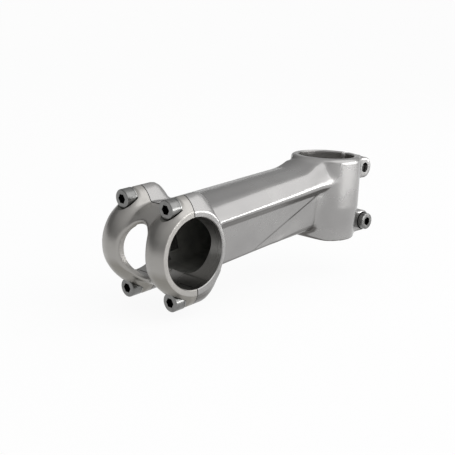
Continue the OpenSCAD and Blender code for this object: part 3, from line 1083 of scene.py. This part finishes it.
def pale_ground(name, shade_share):
    """White to the camera and to mirrors, mixed with a little paint that keeps the shadow."""
    material = bpy.data.materials.new(name)
    material.use_nodes = True
    nodes, links = material.node_tree.nodes, material.node_tree.links
    nodes.clear()
    paint = nodes.new("ShaderNodeBsdfDiffuse")
    paint.inputs["Color"].default_value = (0.8, 0.8, 0.8, 1)
    glow = nodes.new("ShaderNodeEmission")
    glow.inputs["Strength"].default_value = 1.0
    rays = nodes.new("ShaderNodeLightPath")
    seen = rays.outputs["Is Camera Ray"]
    for kind in ("Is Glossy Ray", "Is Transmission Ray"):
        either = nodes.new("ShaderNodeMath")
        either.operation = "MAXIMUM"
        links.new(seen, either.inputs[0])
        links.new(rays.outputs[kind], either.inputs[1])
        seen = either.outputs[0]
    share = nodes.new("ShaderNodeMath")
    share.operation = "MULTIPLY"
    share.inputs[1].default_value = 1 - shade_share
    links.new(seen, share.inputs[0])
    mixer = nodes.new("ShaderNodeMixShader")
    links.new(share.outputs[0], mixer.inputs[0])
    links.new(paint.outputs[0], mixer.inputs[1])
    links.new(glow.outputs[0], mixer.inputs[2])
    out = nodes.new("ShaderNodeOutputMaterial")
    links.new(mixer.outputs[0], out.inputs["Surface"])
    return material


def sweep_floor(name, rim_radius, back_azimuth, back_rise, material):
    """A round floor whose rim curves up behind the stem, so no horizon shows."""
    rings, spokes = 24, 96
    verts, faces = [(middle.x, middle.y, floor_z)], []
    for i in range(1, rings + 1):
        out = i / rings
        climb = max(0, (out - 0.4) / 0.6) ** 2
        for k in range(spokes):
            angle = 2 * math.pi * k / spokes
            behind = max(0, math.cos(angle - back_azimuth)) ** 2
            verts.append((middle.x + rim_radius * out * math.cos(angle),
                          middle.y + rim_radius * out * math.sin(angle),
                          floor_z + back_rise * climb * behind))
    for k in range(spokes):
        j = (k + 1) % spokes
        faces.append((0, 1 + k, 1 + j))
        for i in range(rings - 1):
            a = 1 + i * spokes
            faces.append((a + k, a + spokes + k, a + spokes + j, a + j))
    mesh = bpy.data.meshes.new(name)
    mesh.from_pydata(verts, [], faces)
    mesh.materials.append(material)
    floor = bpy.data.objects.new(name, mesh)
    bpy.context.scene.collection.objects.link(floor)
    print(name, "lies", round((low.z - floor_z) / MM, 1), "mm below the stem")


sweep_floor("floor", 4.0, math.radians(224), 0.6, pale_ground("pale_floor", 0.08))

# %% [markdown]
# The world is a plain fade, bright high up on the rider's left and darker on the far side.
# It gives each facet of the stem its own grey. A studio picture could light it as well, but
# a fade has no shapes of its own that would show in the metal.

# %% World
world = bpy.data.worlds.new("studio")
bpy.context.scene.world = world
world.use_nodes = True
nodes, links = world.node_tree.nodes, world.node_tree.links
walls = nodes["Background"]
walls.inputs["Color"].default_value = (1, 1, 1, 1)
coordinates = nodes.new("ShaderNodeTexCoord")
towards = nodes.new("ShaderNodeVectorMath")
towards.operation = "DOT_PRODUCT"
bright_side, bright_height = math.radians(110), math.radians(50)
towards.inputs[1].default_value = (math.cos(bright_side) * math.cos(bright_height),
                                   math.sin(bright_side) * math.cos(bright_height),
                                   math.sin(bright_height))
links.new(coordinates.outputs["Generated"], towards.inputs[0])
fade = nodes.new("ShaderNodeMapRange")
fade_begins, fade_ends = -0.3, 0.9
dim, bright = 0.18, 1.1
fade.inputs["From Min"].default_value = fade_begins
fade.inputs["From Max"].default_value = fade_ends
fade.inputs["To Min"].default_value = dim
fade.inputs["To Max"].default_value = bright
links.new(towards.outputs["Value"], fade.inputs["Value"])
links.new(fade.outputs["Result"], walls.inputs["Strength"])
print("world strength runs from", dim, "to", bright)

# %% [markdown]
# Two lamps shape the metal. A long, low box almost level with the stem draws the thin
# bright line along its edge. A broad box above it fills the shoulder's facet with one soft
# highlight. Large boxes are used because a small lamp would leave a hard spot on satin.

# %% Lamps
def soft_lamp(name, azimuth, elevation, distance, size, watts):
    """A soft box aimed at the stem. Azimuth 0 is +X and 90 is +Y."""
    a, e = math.radians(azimuth), math.radians(elevation)
    away = Vector((math.cos(a) * math.cos(e), math.sin(a) * math.cos(e), math.sin(e)))
    data = bpy.data.lights.new(name, "AREA")
    data.shape = "RECTANGLE"
    data.size, data.size_y = size
    data.energy = watts
    lamp = bpy.data.objects.new(name, data)
    lamp.location = middle + away * distance
    lamp.rotation_euler = away.to_track_quat("Z", "Y").to_euler()
    bpy.context.scene.collection.objects.link(lamp)
    print(name, "at", [round(v, 2) for v in lamp.location], "m with", watts, "W")


soft_lamp("side_box", 128, 4, 1.0, (1.2, 0.22), 6.2)
soft_lamp("top_box", 118, 43, 1.0, (1.8, 0.95), 5.2)

# %% [markdown]
# ## Camera
#
# The picture is taken a little from above, 44 degrees round from the stem's line towards the
# rider's left, with a long lens that keeps the two clamps in proportion. The camera is
# turned a little about its own line of sight. Its three axes are worked out from those
# angles and written straight into its matrix, which leaves no doubt about their order.

# %% Camera
azimuth, elevation, roll = math.radians(44.10), math.radians(12.51), -0.0478
view = Vector((-math.cos(azimuth) * math.cos(elevation),
               -math.sin(azimuth) * math.cos(elevation), -math.sin(elevation)))
level_right = Vector((-math.sin(azimuth), math.cos(azimuth), 0))
level_down = view.cross(level_right)
right = level_right * math.cos(roll) + level_down * math.sin(roll)
down = level_down * math.cos(roll) - level_right * math.sin(roll)
camera_data = bpy.data.cameras.new("camera")
camera_data.sensor_width = 36
camera_data.lens = 76.84
camera_place = (0.388642, 0.308867, 0.089763)
camera = bpy.data.objects.new("camera", camera_data)
camera.matrix_world = Matrix((
    (right.x, -down.x, -view.x, camera_place[0]),
    (right.y, -down.y, -view.y, camera_place[1]),
    (right.z, -down.z, -view.z, camera_place[2]),
    (0, 0, 0, 1)))
bpy.context.scene.collection.objects.link(camera)
bpy.context.scene.camera = camera
bpy.context.scene.view_settings.view_transform = "Standard"
print("camera stands", round((camera.matrix_world.translation - middle).length, 3), "m away")

# %% [markdown]
# ## The CAD model's size
#
# Dressing a model must not change its size. The box of the CAD model is printed here.

# %% The CAD model's size
print("CAD box", [[round(v, 4) for v in corner] for corner in cad_box])
